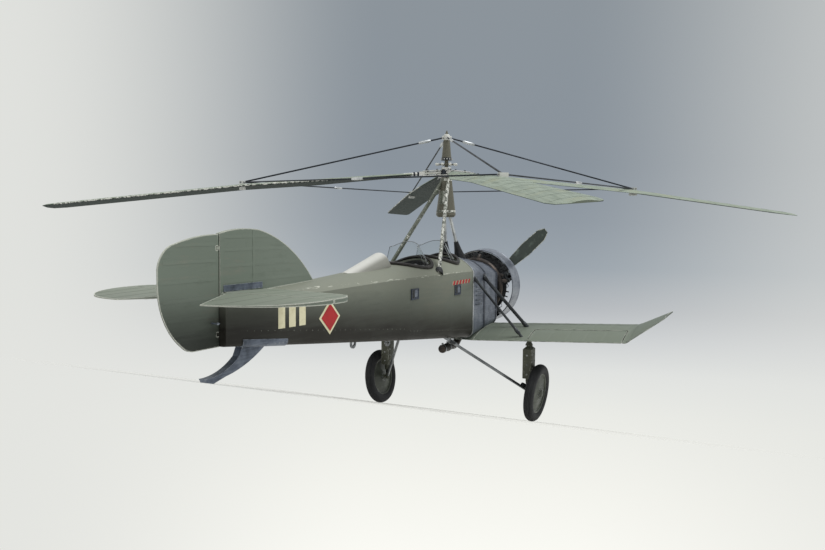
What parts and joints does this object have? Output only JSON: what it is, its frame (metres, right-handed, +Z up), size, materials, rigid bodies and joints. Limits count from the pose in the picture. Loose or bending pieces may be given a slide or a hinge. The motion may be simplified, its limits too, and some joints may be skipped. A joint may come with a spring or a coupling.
{
  "type": "two-seat winged autogyro",
  "caption": "Open two-seat autogyro with a braced free-turning rotor on a pylon, low stub wings with upturned tips, a nose engine in a ring cowl and a tail skid.",
  "frame": {"origin": "on the ground, under the middle of the whole machine as it parks", "axes": "+X forward, +Y to the left, +Z up"},
  "size_m": [10.7206, 9.9498, 4.3522],
  "materials": {
    "olive_fabric": "matte",
    "olive_metal": "satin",
    "bare_metal": "satin",
    "bright_steel": "satin",
    "dark_steel": "satin",
    "pale_metal": "satin",
    "blade_wood": "satin",
    "propeller_wood": "satin",
    "engine_iron": "matte",
    "engine_alloy": "satin",
    "tyre_rubber": "matte",
    "dark_leather": "satin",
    "clear_glass": "gloss"
  },
  "bodies": {
    "airframe": {"cockpit_deck": "olive_metal", "belly_panel": "olive_fabric", "side_left": "olive_fabric", "side_right": "olive_fabric", "firewall": "bare_metal", "rear_fuselage": "olive_fabric", "rear_bulkhead": "olive_metal", "cockpit_floor": "olive_metal", "seats": "olive_metal", "seat_cushions": "dark_leather", "control_columns": "dark_steel", "instrument_panels": "dark_steel", "coamings": "dark_leather", "windscreens": "clear_glass", "headrest_fairing": "pale_metal", "step_flaps": "bare_metal", "tiedown_lugs": "dark_steel", "engine_bay": "bare_metal", "crankcase": "engine_alloy", "engine_cylinders": "engine_iron", "ring_cowl": "pale_metal", "exhaust": "dark_steel", "wing_centre": "olive_fabric", "wing_left": "olive_fabric", "wing_right": "olive_fabric", "wing_struts_left": "dark_steel", "wing_struts_right": "dark_steel", "gear_leg_left": "olive_metal", "gear_leg_right": "olive_metal", "drag_strut_left": "dark_steel", "drag_strut_right": "dark_steel", "fin": "olive_fabric", "stabiliser": "olive_fabric", "fin_root_plates": "bare_metal", "skid_bracket": "bare_metal", "tail_skid": "bare_metal", "pylon_fairing": "olive_metal", "pylon_rear_legs": "olive_metal", "pylon_front_legs": "olive_metal", "rotor_spindle": "bright_steel"},
    "rotor": {"rotor_hub": "bright_steel", "king_post": "olive_metal", "stay_clamps": "pale_metal", "rotor_stays": "dark_steel", "lag_cables": "dark_steel", "rotor_blade_1": "blade_wood", "rotor_blade_2": "blade_wood", "rotor_blade_3": "blade_wood", "rotor_blade_4": "blade_wood"},
    "propeller": {"propeller": "propeller_wood"},
    "wheel_left": {"wheel_left": "olive_metal", "tyre_left": "tyre_rubber"},
    "wheel_right": {"wheel_right": "olive_metal", "tyre_right": "tyre_rubber"},
    "rudder": {"rudder": "olive_fabric"},
    "elevator": {"elevator": "olive_fabric"},
    "aileron_left": {"aileron_left": "olive_fabric"},
    "aileron_right": {"aileron_right": "olive_fabric"}
  },
  "joints": [
    {"name": "rotor_spin", "type": "hinge", "parent": "airframe", "child": "rotor", "pos_m": [0.38525, 0, 3.69955], "axis": [-0.2504, 0, 0.9681], "continuous": true},
    {"name": "propeller_spin", "type": "hinge", "parent": "airframe", "child": "propeller", "pos_m": [2.68109, 0, 2.33078], "axis": [0.9681, 0, 0.2504], "continuous": true},
    {"name": "wheel_left_spin", "type": "hinge", "parent": "airframe", "child": "wheel_left", "pos_m": [1.68338, 1.40443, 0.45338], "axis": [0.0277, 0.9939, -0.1071], "continuous": true},
    {"name": "wheel_right_spin", "type": "hinge", "parent": "airframe", "child": "wheel_right", "pos_m": [1.68338, -1.40443, 0.45338], "axis": [-0.0277, 0.9939, 0.1071], "continuous": true},
    {"name": "rudder_turn", "type": "hinge", "parent": "airframe", "child": "rudder", "pos_m": [-4.53015, 0, 0.89913], "axis": [-0.2504, 0, 0.9681], "range_deg": [-25, 25]},
    {"name": "elevator_tilt", "type": "hinge", "parent": "airframe", "child": "elevator", "pos_m": [-4.45099, 0, 0.87261], "axis": [0, 1, 0], "range_deg": [-22, 24]},
    {"name": "aileron_left_tilt", "type": "hinge", "parent": "airframe", "child": "aileron_left", "pos_m": [1.51026, 1.35, 1.37037], "axis": [-0.0134, 0.9986, 0.0519], "range_deg": [-18, 18]},
    {"name": "aileron_right_tilt", "type": "hinge", "parent": "airframe", "child": "aileron_right", "pos_m": [1.51026, -1.35, 1.37037], "axis": [0.0134, 0.9986, -0.0519], "range_deg": [-18, 18]}
  ],
  "couplings": [
    {"joint": "aileron_right_tilt", "follows": "aileron_left_tilt", "ratio": -1}
  ]
}
